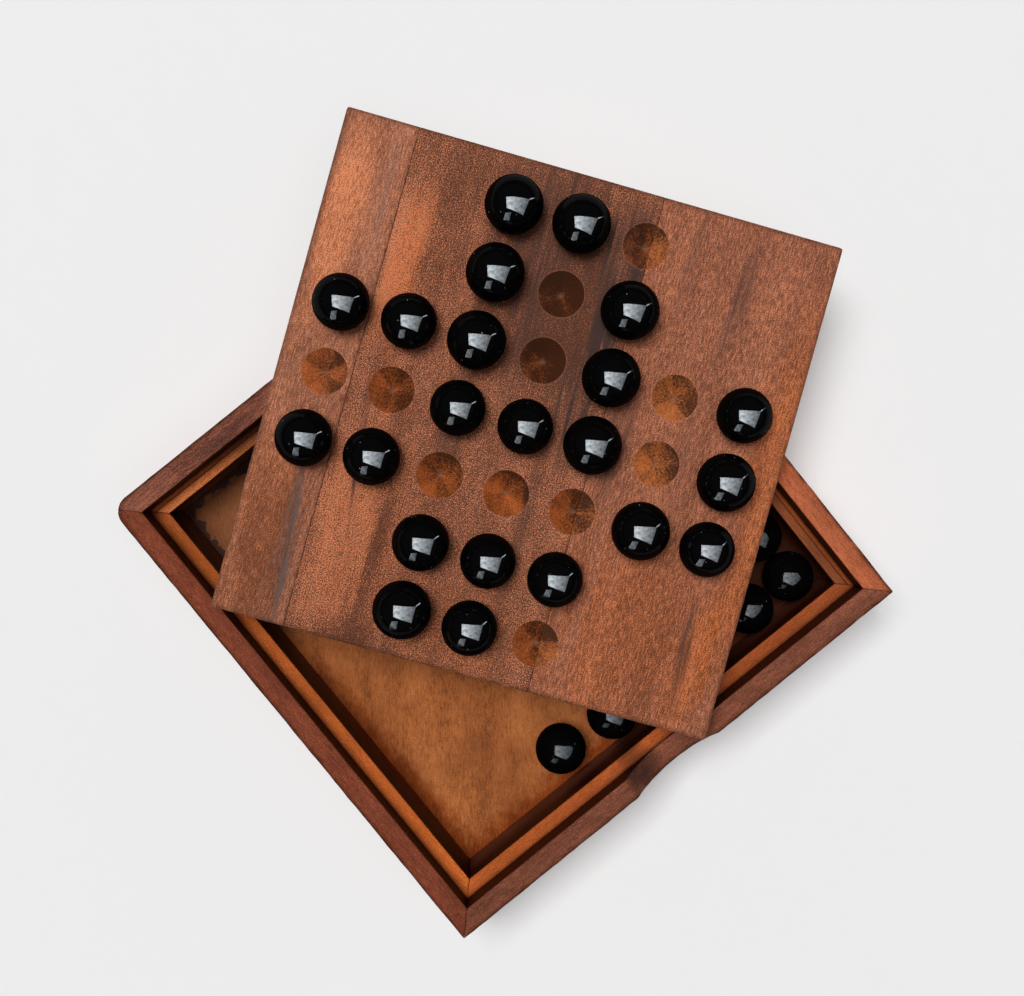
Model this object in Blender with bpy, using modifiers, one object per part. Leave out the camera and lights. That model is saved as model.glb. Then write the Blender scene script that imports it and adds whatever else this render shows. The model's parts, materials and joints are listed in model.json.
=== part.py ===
"""Marble solitaire: a board of three glued planks that is also the lid of a mitred box.

The board lies on the open box, turned off the square, with a game under way on it. The marbles that are
out of the game lie on the floor of the box. Metres, +Z up. The origin is the middle of the box's
underside, and the rail with the thumb notch faces -Y.
"""

import math

import bmesh
import bpy
import numpy as np
from mathutils import Matrix, Vector

# Gap that glued and resting faces keep between their meshes
SEAM = 0.0003
# How far a cutter runs past what it cuts
OVERRUN = 0.002
# Small flat that takes the sharpness off the outer edges
ARRIS = 0.0004

# Board
BOARD_SIDE = 0.1495
BOARD_THICKNESS = 0.0092
LEFT_PLANK_WIDTH = 0.0217
RIGHT_PLANK_WIDTH = 0.0542

# Cups in the board
CUP_PITCH = 0.020
CUP_MOUTH_RADIUS = 0.0068
CUP_DEPTH = 0.0042
CUP_CENTRE_X = -0.0010
CUP_CENTRE_Y = -0.0004
# 1 would be a straight cone and 2 a round bowl
CUP_WALL_POWER = 1.2
# Rings down the cup's wall, as shares of the mouth's radius
CUP_RING_SHARES = (1.0, 0.7, 0.36, 0.0)
CUP_SIDES = 20

# Marbles, which vary a little as pressed glass ones do
SMALL_MARBLE_DIAMETER = 0.0160
MIDDLE_MARBLE_DIAMETER = 0.0164
LARGE_MARBLE_DIAMETER = 0.0169
MARBLE_SIDES = 16
MARBLE_RINGS = 8

# The game, from the far row to the near one: a letter is a marble of that size, a dot an empty cup
GAME = ("LL.", "L.L", "MSL.L.S", "..SSL.L", "MM...LS", "MSS", "LS.")

# Loose marbles, in shares of a step, which is a marble and its clearance: how far from the front right
# corner along the front rail, and how far in from that rail
LOOSE_MARBLE_STEP_SHARES = (
    (0.0, 0.0),
    (1.0, 0.0),
    (0.0, 1.0),
    (4.35, 0.07),
    (5.55, 0.17),
    (2.55, 0.0),
    (1.08, 1.18),
    (0.0, 2.02),
    (0.04, 3.32),
    (3.5, 1.27),
)

# Box
RIM_WIDTH = 0.0066
LEDGE_WIDTH = 0.0042
RECESS_CLEARANCE = 0.0019
RECESS_DEPTH = 0.0094
CAVITY_DEPTH = 0.0210
PANEL_THICKNESS = 0.0040
PANEL_LAP = 0.0050
WORN_CORNER_RADIUS = 0.0055
WORN_CORNER_SIDES = 6

# Thumb notch in the front rail
NOTCH_WIDTH = 0.0306
NOTCH_DEPTH = 0.0082
NOTCH_SIDES = 96

# Board on the box: how far its lowest and its leftmost corner lie in from the box's outside
BOARD_TURN = math.radians(-54.37)
BOARD_FRONT_INSET = 0.0037
BOARD_LEFT_INSET = 0.0068

WOOD_ROUGHNESS = 0.55
BOARD_COLOUR = (0.206, 0.073, 0.040)
RAIL_COLOUR = (0.162, 0.052, 0.030)
PANEL_COLOUR = (0.270, 0.105, 0.035)
MARBLE_COLOUR = (0.004, 0.004, 0.005)
MARBLE_ROUGHNESS = 0.06

SMOOTH_ANGLE = math.radians(35)
QUARTER_TURN = math.pi / 2

# Worked out from the sizes above
BOARD_HALF = BOARD_SIDE / 2
BOX_HALF = BOARD_HALF + RECESS_CLEARANCE + RIM_WIDTH
RAIL_WIDTH = RIM_WIDTH + LEDGE_WIDTH
CAVITY_HALF = BOX_HALF - RAIL_WIDTH
LEDGE_HEIGHT = PANEL_THICKNESS + CAVITY_DEPTH
BOX_HEIGHT = LEDGE_HEIGHT + RECESS_DEPTH
BOARD_TOP = BOX_HEIGHT + SEAM + BOARD_THICKNESS
MARBLE_DIAMETERS = {"S": SMALL_MARBLE_DIAMETER, "M": MIDDLE_MARBLE_DIAMETER, "L": LARGE_MARBLE_DIAMETER}


def clear_scene():
    for obj in list(bpy.data.objects):
        bpy.data.objects.remove(obj, do_unlink=True)


def new_collection(name):
    collection = bpy.data.collections.new(name)
    bpy.context.scene.collection.children.link(collection)
    return collection


def new_object(name, mesh, collection, parent=None):
    obj = bpy.data.objects.new(name, mesh)
    collection.objects.link(obj)
    obj.parent = parent
    return obj


def mesh_from(bm, name):
    mesh = bpy.data.meshes.new(name)
    bm.normal_update()
    bm.to_mesh(mesh)
    bm.free()
    return mesh


def new_material(name, colour, roughness):
    material = bpy.data.materials.new(name)
    material.use_nodes = True
    shader = material.node_tree.nodes["Principled BSDF"]
    shader.inputs["Base Color"].default_value = (*colour, 1.0)
    shader.inputs["Roughness"].default_value = roughness
    shader.inputs["Metallic"].default_value = 0.0
    return material


def as_cutter(obj):
    obj.hide_render = True
    obj.display_type = "WIRE"
    return obj


def cut(obj, cutter):
    """Takes a cutter, or every cutter in a collection, out of an object."""
    modifier = obj.modifiers.new("cut_" + cutter.name, "BOOLEAN")
    modifier.operation = "DIFFERENCE"
    modifier.solver = "EXACT"
    if isinstance(cutter, bpy.types.Collection):
        modifier.operand_type = "COLLECTION"
        modifier.collection = cutter
    else:
        modifier.object = cutter


def prism_mesh(name, outline, half_length):
    """A closed outline in the XY plane, filled and drawn out along Z to both sides."""
    curve = bpy.data.curves.new(name + "_outline", "CURVE")
    curve.dimensions = "2D"
    curve.fill_mode = "BOTH"
    curve.extrude = half_length
    spline = curve.splines.new("POLY")
    spline.points.add(len(outline) - 1)
    for point, (x, y) in zip(spline.points, outline):
        point.co = (x, y, 0.0, 1.0)
    spline.use_cyclic_u = True

    drawn = bpy.data.objects.new(name + "_outline", curve)
    bpy.context.scene.collection.objects.link(drawn)
    evaluated = drawn.evaluated_get(bpy.context.evaluated_depsgraph_get())
    bm = bmesh.new()
    flat = bpy.data.meshes.new_from_object(evaluated)
    bm.from_mesh(flat)
    bmesh.ops.remove_doubles(bm, verts=bm.verts, dist=ARRIS / 100)
    bmesh.ops.recalc_face_normals(bm, faces=bm.faces)
    bpy.data.objects.remove(drawn, do_unlink=True)
    bpy.data.curves.remove(curve)
    bpy.data.meshes.remove(flat)
    return bm


def shorten_to_plane(bm, point, normal):
    """Cuts away what lies beyond a plane and closes the cut with one face."""
    everything = bm.verts[:] + bm.edges[:] + bm.faces[:]
    bmesh.ops.bisect_plane(
        bm, geom=everything, dist=ARRIS / 1000, plane_co=point, plane_no=normal, clear_outer=True
    )
    open_edges = [edge for edge in bm.edges if edge.is_boundary]
    bmesh.ops.edgeloop_fill(bm, edges=open_edges)


def plank_mesh(name, left, right, outer_sides):
    """A plank of the board between two places on its X axis, eased on the board's outer edges."""
    bm = bmesh.new()
    size = (right - left, BOARD_SIDE, BOARD_THICKNESS)
    place = Matrix.Translation(((left + right) / 2, 0.0, 0.0)) @ Matrix.Diagonal((*size, 1.0))
    bmesh.ops.create_cube(bm, size=1.0, matrix=place)

    def on_outside(edge):
        middle = (edge.verts[0].co + edge.verts[1].co) / 2
        at_end = abs(middle.y) > BOARD_HALF - ARRIS
        at_side = any(abs(middle.x - side) < ARRIS for side in outer_sides)
        runs_up = abs(edge.verts[0].co.z - edge.verts[1].co.z) > ARRIS
        return (at_end and at_side) if runs_up else (at_end or at_side)

    eased = [edge for edge in bm.edges if on_outside(edge)]
    bmesh.ops.bevel(bm, geom=eased, offset=ARRIS, segments=1, affect="EDGES", clamp_overlap=True)
    return mesh_from(bm, name)


def cup_drop(radius):
    """How far the cup's wall lies below the board's top at this distance from the cup's middle."""
    return CUP_DEPTH * (1 - (radius / CUP_MOUTH_RADIUS) ** CUP_WALL_POWER)


def cup_cutter_mesh():
    """Half section of the cutter, from its axis out over the board and down the cup's wall."""
    points = [(0.0, OVERRUN), (CUP_MOUTH_RADIUS, OVERRUN)]
    points += [(share * CUP_MOUTH_RADIUS, -cup_drop(share * CUP_MOUTH_RADIUS)) for share in CUP_RING_SHARES]
    mesh = bpy.data.meshes.new("cup_cutter")
    edges = [(i, i + 1) for i in range(len(points) - 1)]
    mesh.from_pydata([(x, 0.0, z) for x, z in points], edges, [])
    return mesh


def turn_on_axis(obj, sides):
    screw = obj.modifiers.new("turned", "SCREW")
    screw.axis = "Z"
    screw.steps = sides
    screw.render_steps = sides
    screw.use_merge_vertices = True
    screw.merge_threshold = ARRIS / 100
    screw.use_smooth_shade = True


def cup_places():
    """Row, column and place on the board of each cup, the far row and the left column first."""
    middle = len(GAME) // 2
    places = []
    for row, cups in enumerate(GAME):
        first_column = middle - len(cups) // 2
        for index, marble in enumerate(cups):
            column = first_column + index
            x = CUP_CENTRE_X + (column - middle) * CUP_PITCH
            y = CUP_CENTRE_Y + (middle - row) * CUP_PITCH
            places.append((row + 1, column + 1, x, y, marble))
    return places


def seat_height(radius):
    """Height of a marble's middle over the board's top when its cup carries it."""
    reach = np.linspace(0.0, min(radius, CUP_MOUTH_RADIUS), 200)
    return float(np.max(np.sqrt(radius**2 - reach**2) - cup_drop(reach)))


def marble_meshes(material):
    meshes = {}
    for size, diameter in MARBLE_DIAMETERS.items():
        bm = bmesh.new()
        bmesh.ops.create_uvsphere(
            bm, u_segments=MARBLE_SIDES, v_segments=MARBLE_RINGS, radius=diameter / 2
        )
        mesh = mesh_from(bm, "marble_" + size)
        mesh.shade_smooth()
        mesh.materials.append(material)
        meshes[size] = mesh
    return meshes


def rail_outline():
    """Section of a rail: distance in from the box's outside, and height."""
    panel_seat = PANEL_THICKNESS + SEAM
    return [
        (ARRIS, 0.0),
        (RAIL_WIDTH - PANEL_LAP, 0.0),
        (RAIL_WIDTH - PANEL_LAP, panel_seat),
        (RAIL_WIDTH, panel_seat),
        (RAIL_WIDTH, LEDGE_HEIGHT - ARRIS),
        (RAIL_WIDTH - ARRIS, LEDGE_HEIGHT),
        (RIM_WIDTH, LEDGE_HEIGHT),
        (RIM_WIDTH, BOX_HEIGHT - ARRIS),
        (RIM_WIDTH - ARRIS, BOX_HEIGHT),
        (ARRIS, BOX_HEIGHT),
        (0.0, BOX_HEIGHT - ARRIS),
        (0.0, ARRIS),
    ]


def rail_mesh(material):
    """The front rail: its section drawn out along X and mitred at both ends."""
    bm = prism_mesh("rail", rail_outline(), BOX_HALF)
    # The section's axes become in and up, and its length lies along X
    stand_up = Matrix(((0.0, 0.0, 1.0), (1.0, 0.0, 0.0), (0.0, 1.0, 0.0))).to_4x4()
    bmesh.ops.transform(bm, matrix=Matrix.Translation((0.0, -BOX_HALF, 0.0)) @ stand_up, verts=bm.verts)
    for side in (-1, 1):
        outward = Vector((side, 1.0, 0.0)).normalized()
        corner = Vector((side * BOX_HALF, -BOX_HALF, 0.0))
        shorten_to_plane(bm, corner - outward * SEAM / 2, outward)
    bmesh.ops.recalc_face_normals(bm, faces=bm.faces)
    mesh = mesh_from(bm, "rail")
    mesh.materials.append(material)
    return mesh


def worn_corner_mesh():
    """What wear has taken off the back left corner: the corner outside a quarter round."""
    reach = BOX_HALF + OVERRUN
    middle = BOX_HALF - WORN_CORNER_RADIUS
    outline = [(-reach, middle), (-reach, reach), (-middle, reach)]
    for step in range(WORN_CORNER_SIDES + 1):
        angle = QUARTER_TURN * (1 + step / WORN_CORNER_SIDES)
        x = -middle + WORN_CORNER_RADIUS * math.cos(angle)
        y = middle + WORN_CORNER_RADIUS * math.sin(angle)
        outline.append((x, y))
    return mesh_from(prism_mesh("worn_corner", outline, BOX_HEIGHT), "worn_corner")


def notch_cutter(collection):
    """A bar across the front rail whose round underside leaves the notch."""
    radius = (NOTCH_WIDTH**2 / 4 + NOTCH_DEPTH**2) / (2 * NOTCH_DEPTH)
    length = RIM_WIDTH + 2 * OVERRUN
    bm = bmesh.new()
    bmesh.ops.create_cone(
        bm, cap_ends=True, segments=NOTCH_SIDES, radius1=radius, radius2=radius, depth=length
    )
    bar = new_object("thumb_notch", mesh_from(bm, "thumb_notch"), collection)
    bar.rotation_euler = (QUARTER_TURN, 0.0, 0.0)
    bar.location = (0.0, -BOX_HALF + RIM_WIDTH / 2, BOX_HEIGHT - NOTCH_DEPTH + radius)
    return as_cutter(bar)


def make_box(parts, cutters):
    frame = new_object("box_frame", None, parts)
    wood = new_material("rail_wood", RAIL_COLOUR, WOOD_ROUGHNESS)
    mesh = rail_mesh(wood)
    rails = {}
    for turn, side in enumerate(("front", "right", "back", "left")):
        rail = new_object("rail_" + side, mesh, parts, frame)
        rail.rotation_euler = (0.0, 0.0, turn * QUARTER_TURN)
        rails[side] = rail
    cut(rails["front"], notch_cutter(cutters))
    worn_mesh = worn_corner_mesh()
    for side, turn in (("left", 0.0), ("right", -QUARTER_TURN)):
        worn_corner = as_cutter(new_object("worn_corner_back_" + side, worn_mesh, cutters))
        worn_corner.rotation_euler = (0.0, 0.0, turn)
        cut(rails["back"], worn_corner)
        cut(rails[side], worn_corner)

    panel_side = 2 * (CAVITY_HALF + PANEL_LAP - SEAM)
    bm = bmesh.new()
    size = Matrix.Diagonal((panel_side, panel_side, PANEL_THICKNESS, 1.0))
    bmesh.ops.create_cube(bm, size=1.0, matrix=size)
    panel = new_object("base_panel", mesh_from(bm, "base_panel"), parts, frame)
    panel.location = (0.0, 0.0, PANEL_THICKNESS / 2)
    panel.data.materials.append(new_material("panel_wood", PANEL_COLOUR, WOOD_ROUGHNESS))
    return frame


def make_board(parts, cutters):
    """The board's frame stands at the middle of its top, with rows along X and columns along Y."""
    turn = abs(BOARD_TURN) % QUARTER_TURN
    reach = BOARD_HALF * (math.cos(turn) + math.sin(turn))
    frame = new_object("board_frame", None, parts)
    frame.rotation_euler = (0.0, 0.0, BOARD_TURN)
    frame.location = (
        -BOX_HALF + BOARD_LEFT_INSET + reach,
        -BOX_HALF + BOARD_FRONT_INSET + reach,
        BOARD_TOP,
    )

    cup_cutters = bpy.data.collections.new("cups")
    cutters.children.link(cup_cutters)
    profile = cup_cutter_mesh()
    for row, column, x, y, _ in cup_places():
        cutter = new_object("cup_r%d_c%d" % (row, column), profile, cup_cutters, frame)
        cutter.location = (x, y, 0.0)
        turn_on_axis(cutter, CUP_SIDES)
        as_cutter(cutter)

    wood = new_material("board_wood", BOARD_COLOUR, WOOD_ROUGHNESS)
    left_seam = -BOARD_HALF + LEFT_PLANK_WIDTH
    right_seam = BOARD_HALF - RIGHT_PLANK_WIDTH
    planks = {
        "plank_left": (-BOARD_HALF, left_seam - SEAM / 2, (-BOARD_HALF,)),
        "plank_middle": (left_seam + SEAM / 2, right_seam - SEAM / 2, ()),
        "plank_right": (right_seam + SEAM / 2, BOARD_HALF, (BOARD_HALF,)),
    }
    for name, (left, right, outer_sides) in planks.items():
        plank = new_object(name, plank_mesh(name, left, right, outer_sides), parts, frame)
        plank.location = (0.0, 0.0, -BOARD_THICKNESS / 2)
        plank.data.materials.append(wood)
        cut(plank, cup_cutters)
    return frame


def place_marbles(parts, board_frame, box_frame):
    meshes = marble_meshes(new_material("marble_glass", MARBLE_COLOUR, MARBLE_ROUGHNESS))
    for row, column, x, y, size in cup_places():
        if size == ".":
            continue
        marble = new_object("marble_r%d_c%d" % (row, column), meshes[size], parts, board_frame)
        marble.location = (x, y, seat_height(MARBLE_DIAMETERS[size] / 2) + SEAM)

    radius = SMALL_MARBLE_DIAMETER / 2
    step = 2 * radius + SEAM
    corner = CAVITY_HALF - SEAM - radius
    for number, (along, inward) in enumerate(LOOSE_MARBLE_STEP_SHARES, start=1):
        marble = new_object("marble_loose_%02d" % number, meshes["S"], parts, box_frame)
        marble.location = (corner - along * step, -corner + inward * step, PANEL_THICKNESS + SEAM + radius)


def main():
    clear_scene()
    parts = new_collection("marble_solitaire")
    cutters = new_collection("cutters")
    cutters.hide_render = True
    box_frame = make_box(parts, cutters)
    board_frame = make_board(parts, cutters)
    place_marbles(parts, board_frame, box_frame)


main()
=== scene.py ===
import json
import math

import bpy
import numpy as np
from mathutils import Euler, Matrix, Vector

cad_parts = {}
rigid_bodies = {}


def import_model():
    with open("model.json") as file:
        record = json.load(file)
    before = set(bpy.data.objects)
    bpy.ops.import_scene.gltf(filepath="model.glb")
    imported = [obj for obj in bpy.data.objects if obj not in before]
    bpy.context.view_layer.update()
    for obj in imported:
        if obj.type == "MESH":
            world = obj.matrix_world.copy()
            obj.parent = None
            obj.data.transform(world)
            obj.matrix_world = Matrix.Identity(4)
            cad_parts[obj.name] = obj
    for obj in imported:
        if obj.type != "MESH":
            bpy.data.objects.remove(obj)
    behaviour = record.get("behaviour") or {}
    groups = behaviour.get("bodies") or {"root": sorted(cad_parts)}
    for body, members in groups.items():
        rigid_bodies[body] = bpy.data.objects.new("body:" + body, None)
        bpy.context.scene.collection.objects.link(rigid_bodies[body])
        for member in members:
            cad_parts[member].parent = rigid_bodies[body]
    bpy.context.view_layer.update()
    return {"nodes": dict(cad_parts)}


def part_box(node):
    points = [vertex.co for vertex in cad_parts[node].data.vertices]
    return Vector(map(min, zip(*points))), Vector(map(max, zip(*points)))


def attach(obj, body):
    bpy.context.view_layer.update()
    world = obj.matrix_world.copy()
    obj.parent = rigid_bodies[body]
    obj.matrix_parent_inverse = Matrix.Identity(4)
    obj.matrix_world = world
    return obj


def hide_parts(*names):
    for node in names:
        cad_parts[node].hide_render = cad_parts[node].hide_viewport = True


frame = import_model()
print("scene: frame loaded,", len(frame["nodes"]), "nodes")


# Helpers for meshes

def nodePoints(name):  # a CAD node's corners as an array, one row each
    mesh = frame["nodes"][name].data
    points = np.empty(len(mesh.vertices) * 3)
    mesh.vertices.foreach_get("co", points)
    return points.reshape(-1, 3)


def middleOf(name):  # the middle of a CAD node's box
    low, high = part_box(name)
    return (np.array(low) + np.array(high)) / 2


def makePiece(name, points, faces, material, masks=None):
    # points is an n x 3 array, faces a list of arrays of corner numbers, masks a dictionary of values
    # or vectors per point that the material reads as attributes
    mesh = bpy.data.meshes.new(name)
    mesh.vertices.add(len(points))
    mesh.vertices.foreach_set("co", np.ascontiguousarray(points, dtype=np.float32).ravel())
    sizes = np.concatenate([np.full(len(group), group.shape[1]) for group in faces])
    corners = np.concatenate([group.ravel() for group in faces]).astype(np.int32)
    mesh.loops.add(len(corners))
    mesh.loops.foreach_set("vertex_index", corners)
    mesh.polygons.add(len(sizes))
    mesh.polygons.foreach_set("loop_start", (np.cumsum(sizes) - sizes).astype(np.int32))
    mesh.update(calc_edges=True)
    for maskName, values in (masks or {}).items():
        kind = "FLOAT" if values.ndim == 1 else "FLOAT_VECTOR"
        attribute = mesh.attributes.new(maskName, kind, "POINT")
        field = "value" if values.ndim == 1 else "vector"
        attribute.data.foreach_set(field, np.ascontiguousarray(values, dtype=np.float32).ravel())
    mesh.shade_smooth()
    mesh.validate()
    mesh.materials.append(material)
    piece = bpy.data.objects.new(name, mesh)
    bpy.context.scene.collection.objects.link(piece)
    return piece


def gridFaces(rows, columns, firstPoint=0, closed=False):
    # squares between neighbouring rows and columns of a grid of points; closed joins the last column
    # to the first one
    row = np.arange(rows - 1)[:, None]
    column = np.arange(columns if closed else columns - 1)[None, :]
    after = (column + 1) % columns
    near, far = row * columns, (row + 1) * columns
    squares = np.stack([near + column, near + after, far + after, far + column], axis=-1)
    return squares.reshape(-1, 4) + firstPoint


def fanFaces(pole, ring, closed=True):  # triangles from a pole to each two neighbours on a ring
    fan = np.stack([np.full_like(ring, pole), ring, np.roll(ring, -1)], axis=1)
    return fan if closed else fan[:-1]


def placesBetween(stops, step):  # the stops, and even places between them about one step apart
    spans = [
        np.linspace(low, high, max(1, int(round((high - low) / step))) + 1)[:-1]
        for low, high in zip(stops[:-1], stops[1:])
    ]
    return np.concatenate(spans + [np.array(stops[-1:])])


def softMax(values, softness):  # values where they are above nought, nought below, eased between
    return (values + np.sqrt(values**2 + 4 * softness**2)) / 2


def ripple(places, seed, waves, shortest, longest):
    # a sum of sine waves of random length and phase, about one high
    random = np.random.default_rng(seed)
    lengths = random.uniform(shortest, longest, waves)
    phases = random.uniform(0, 2 * math.pi, waves)
    angles = 2 * math.pi * places[..., None] / lengths + phases
    return np.sin(angles).sum(axis=-1) / math.sqrt(waves)


def roundCorner(points, middle, side):
    # wears a square corner round: the distance from the rounding's middle that was measured along the
    # longer of the two sides becomes the straight distance, so the square's outline becomes a circle
    away = (points[:, :2] - middle) * side
    outside = (away[:, 0] > 0) & (away[:, 1] > 0)
    longer = np.maximum(away[:, 0], away[:, 1])
    straight = np.hypot(away[:, 0], away[:, 1])
    share = np.where(outside, longer / np.maximum(straight, 1e-12), 1.0)
    rounded = points.copy()
    rounded[:, :2] = middle + away * share[:, None] * side
    return rounded


# Helpers for materials

def connect(node, feeds):
    # feeds a node's sockets with other nodes' outputs or fixed values, a colour as its three numbers
    for socketName, source in feeds.items():
        socket = node.inputs[socketName]
        if isinstance(source, bpy.types.NodeSocket):
            node.id_data.links.new(source, socket)
        else:
            socket.default_value = (*source, 1) if socket.type == "RGBA" else source


def addNode(tree, kind, feeds=None, **settings):
    made = tree.nodes.new("ShaderNode" + kind)
    made.location.x = 190 * (len(tree.nodes) % 12)
    made.location.y = -260 * (len(tree.nodes) // 12)
    for key, value in settings.items():
        setattr(made, key, value)
    connect(made, feeds or {})
    return made


def calc(tree, operation, first, second=0.0, third=0.0, clamp=False):
    feeds = {0: first, 1: second, 2: third}
    return addNode(tree, "Math", feeds, operation=operation, use_clamp=clamp).outputs[0]


def addUp(tree, total, shares):  # the total plus each value times its weight
    for value, weight in shares:
        total = calc(tree, "MULTIPLY_ADD", value, weight, total)
    return total


def mathsOf(tree, operation, first, second=(0, 0, 0), output=0):  # vector arithmetic
    return addNode(tree, "VectorMath", {0: first, 1: second}, operation=operation).outputs[output]


def blendColour(tree, share, first, second, how="MIX"):
    made = addNode(tree, "Mix", {"Factor": share, 6: first, 7: second}, data_type="RGBA", blend_type=how)
    return made.outputs[2]


def spread(tree, value, low, high, toLow=0.0, toHigh=1.0):  # stretches low..high to toLow..toHigh
    feeds = {"Value": value, "From Min": low, "From Max": high, "To Min": toLow, "To Max": toHigh}
    return addNode(tree, "MapRange", feeds, clamp=True).outputs[0]


def noise(tree, place, scale, detail, distortion=0.0):
    feeds = {"Vector": place, "Scale": scale, "Detail": detail, "Distortion": distortion}
    return addNode(tree, "TexNoise", feeds).outputs["Fac"]


def noiseOf(tree, place, pattern, low=0.0, high=1.0):
    # a pattern is the noise's scale, detail and distortion, and the part of it that is stretched to
    # low..high
    *kind, least, most = pattern
    return spread(tree, noise(tree, place, *kind), least, most, low, high)


def grainNoise(tree, place, across, along, detail, distortion=0.0):
    # noise that changes this many times in a metre across the grain, and along it
    return noise(tree, mathsOf(tree, "MULTIPLY", place, (across, along, across)), 1.0, detail, distortion)


def grainOf(tree, place, pattern, low=-1, high=1):  # the same for a pattern with two scales
    *kind, least, most = pattern
    return spread(tree, grainNoise(tree, place, *kind), least, most, low, high)


def bumpOf(tree, strength, distance, height):
    return addNode(tree, "Bump", {"Strength": strength, "Distance": distance, "Height": height}).outputs[0]


def newGroup(name, vectors, colours, floats, outputs):
    # a node group with these inputs of each kind; among the outputs, Color is the only colour
    group = bpy.data.node_groups.new(name, "ShaderNodeTree")
    kinds = {"NodeSocketVector": vectors, "NodeSocketColor": colours, "NodeSocketFloat": floats}
    for kind, socketNames in kinds.items():
        for socketName in socketNames:
            group.interface.new_socket(socketName, in_out="INPUT", socket_type=kind)
    for socketName in outputs:
        kind = "NodeSocketColor" if socketName == "Color" else "NodeSocketFloat"
        group.interface.new_socket(socketName, in_out="OUTPUT", socket_type=kind)
    return group, group.nodes.new("NodeGroupInput").outputs, group.nodes.new("NodeGroupOutput")


woodColours = ("Dark", "Middle", "Light", "Grey")
woodShares = ("Bands", "Clouds", "Fibres", "Flecks", "Veins")
woodPattern = dict(
    # how often the noise changes in a metre across and along the grain, its detail and distortion, and
    # the part of it that is stretched to the full swing
    bands=(90, 6, 2, 0.3, 0.3, 0.7),
    clouds=(150, 60, 3, 0.4, 0.3, 0.7),
    fibres=(2200, 380, 2, 0.2, 0.34, 0.66),
    flecks=(3600, 2700, 1, 0.3, 0.37, 0.63),
    strands=(800, 45, 2, 0.2, 0.38, 0.62),  # they break up the grey
    pores=(2600, 330, 1, 0.0, 0.63, 0.70),
    patches=(180, 120, 4, 0.0, 0.36, 0.5),  # breaks up the painted edge shade and the edges' polish
    veins=(70, 5, 3, 0.7),
    veinWidth=0.03,
    fray=(260, 22, 4, 0.3),  # at the outline of a large mark
    markFray=2.1,  # how much of it
    markCore=0.25,  # share of a large mark's size in which it is full
    poreDark=0.5,
    poreRelief=-1.5,
    fibreRelief=0.5,
    strandFibres=0.35,
)


def makeWoodGroup():
    # oiled wood with its grain along Y: soft bands, clouds, fine fibres, stippled flecks, dark veins and
    # pores. Their sum is a tone from -1, dark, to 1, light; Figure adds the piece's own large marks.
    group, given, result = newGroup(
        "oiledWood", ["Place"], woodColours, [*woodShares, "Figure", "Greyness"], ["Color", "Height"],
    )
    place = given["Place"]
    layers = {share: grainOf(group, place, woodPattern[share.lower()]) for share in woodShares[:4]}
    veins = calc(group, "SUBTRACT", grainNoise(group, place, *woodPattern["veins"]), 0.5)
    veins = spread(group, calc(group, "ABSOLUTE", veins), 0.0, woodPattern["veinWidth"], 1, 0)
    pores = grainOf(group, place, woodPattern["pores"], 0)
    tone = addUp(group, given["Figure"], [(value, given[share]) for share, value in layers.items()])
    darker = calc(group, "MULTIPLY", tone, -1.0, clamp=True)
    lighter = calc(group, "MULTIPLY", tone, 1.0, clamp=True)
    colour = blendColour(group, darker, given["Middle"], given["Dark"])
    colour = blendColour(group, lighter, colour, given["Light"])
    grey = calc(group, "MULTIPLY_ADD", veins, given["Veins"], given["Greyness"], clamp=True)
    strands = grainOf(group, place, woodPattern["strands"], -0.6, 0.6)
    strands = addUp(group, strands, [(layers["Fibres"], woodPattern["strandFibres"])])
    grey = calc(group, "MULTIPLY_ADD", strands, grey, grey, clamp=True)
    colour = blendColour(group, grey, colour, given["Grey"])
    pits = calc(group, "MULTIPLY", pores, woodPattern["poreDark"])
    colour = blendColour(group, pits, colour, given["Dark"])
    relief = [(layers["Fibres"], woodPattern["fibreRelief"]), (pores, woodPattern["poreRelief"])]
    height = addUp(group, layers["Flecks"], relief)
    connect(result, {"Color": colour, "Height": height})
    return group


def makeMarkGroup():
    # one large mark in the grain: a long soft ellipse that leans and frays, 1 at its middle and 0 outside
    group, given, result = newGroup(
        "woodMark", ["Place", "Middle"], [], ["Width", "Length", "Lean"], ["Share"],
    )
    place = given["Place"]
    away = mathsOf(group, "SUBTRACT", place, given["Middle"])
    parts = addNode(group, "SeparateXYZ", {0: away}).outputs
    leaning = calc(group, "MULTIPLY", parts["Y"], given["Lean"])
    across = calc(group, "DIVIDE", calc(group, "SUBTRACT", parts["X"], leaning), given["Width"])
    frayed = calc(group, "SUBTRACT", grainNoise(group, place, *woodPattern["fray"]), 0.5)
    across = addUp(group, across, [(frayed, woodPattern["markFray"])])
    along = calc(group, "DIVIDE", parts["Y"], given["Length"])
    flat = addNode(group, "CombineXYZ", {"X": across, "Y": along}).outputs[0]
    distance = mathsOf(group, "LENGTH", flat, output="Value")
    feeds = {"Value": distance, "From Min": 1.0, "From Max": woodPattern["markCore"]}
    share = addNode(group, "MapRange", feeds, clamp=True)
    share.interpolation_type = "SMOOTHSTEP"
    connect(result, {"Share": share.outputs[0]})
    return group


def makeShadedWornEdgeGroup():
    # a broken line of painted shade on the rounded edges where the mask "edge" nears one; Share also sets
    # their polish
    group, given, result = newGroup(
        "shadedWornEdge", ["Place"], ["Color", "EdgeShade"], ["Edge", "Amount"], ["Color", "Share"],
    )
    patches = grainOf(group, given["Place"], woodPattern["patches"], 0.4, 1.0)
    share = calc(group, "MULTIPLY", given["Edge"], patches)
    share = calc(group, "MULTIPLY", share, given["Amount"], clamp=True)
    colour = blendColour(group, share, given["Color"], given["EdgeShade"])
    connect(result, {"Color": colour, "Share": share})
    return group


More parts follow.
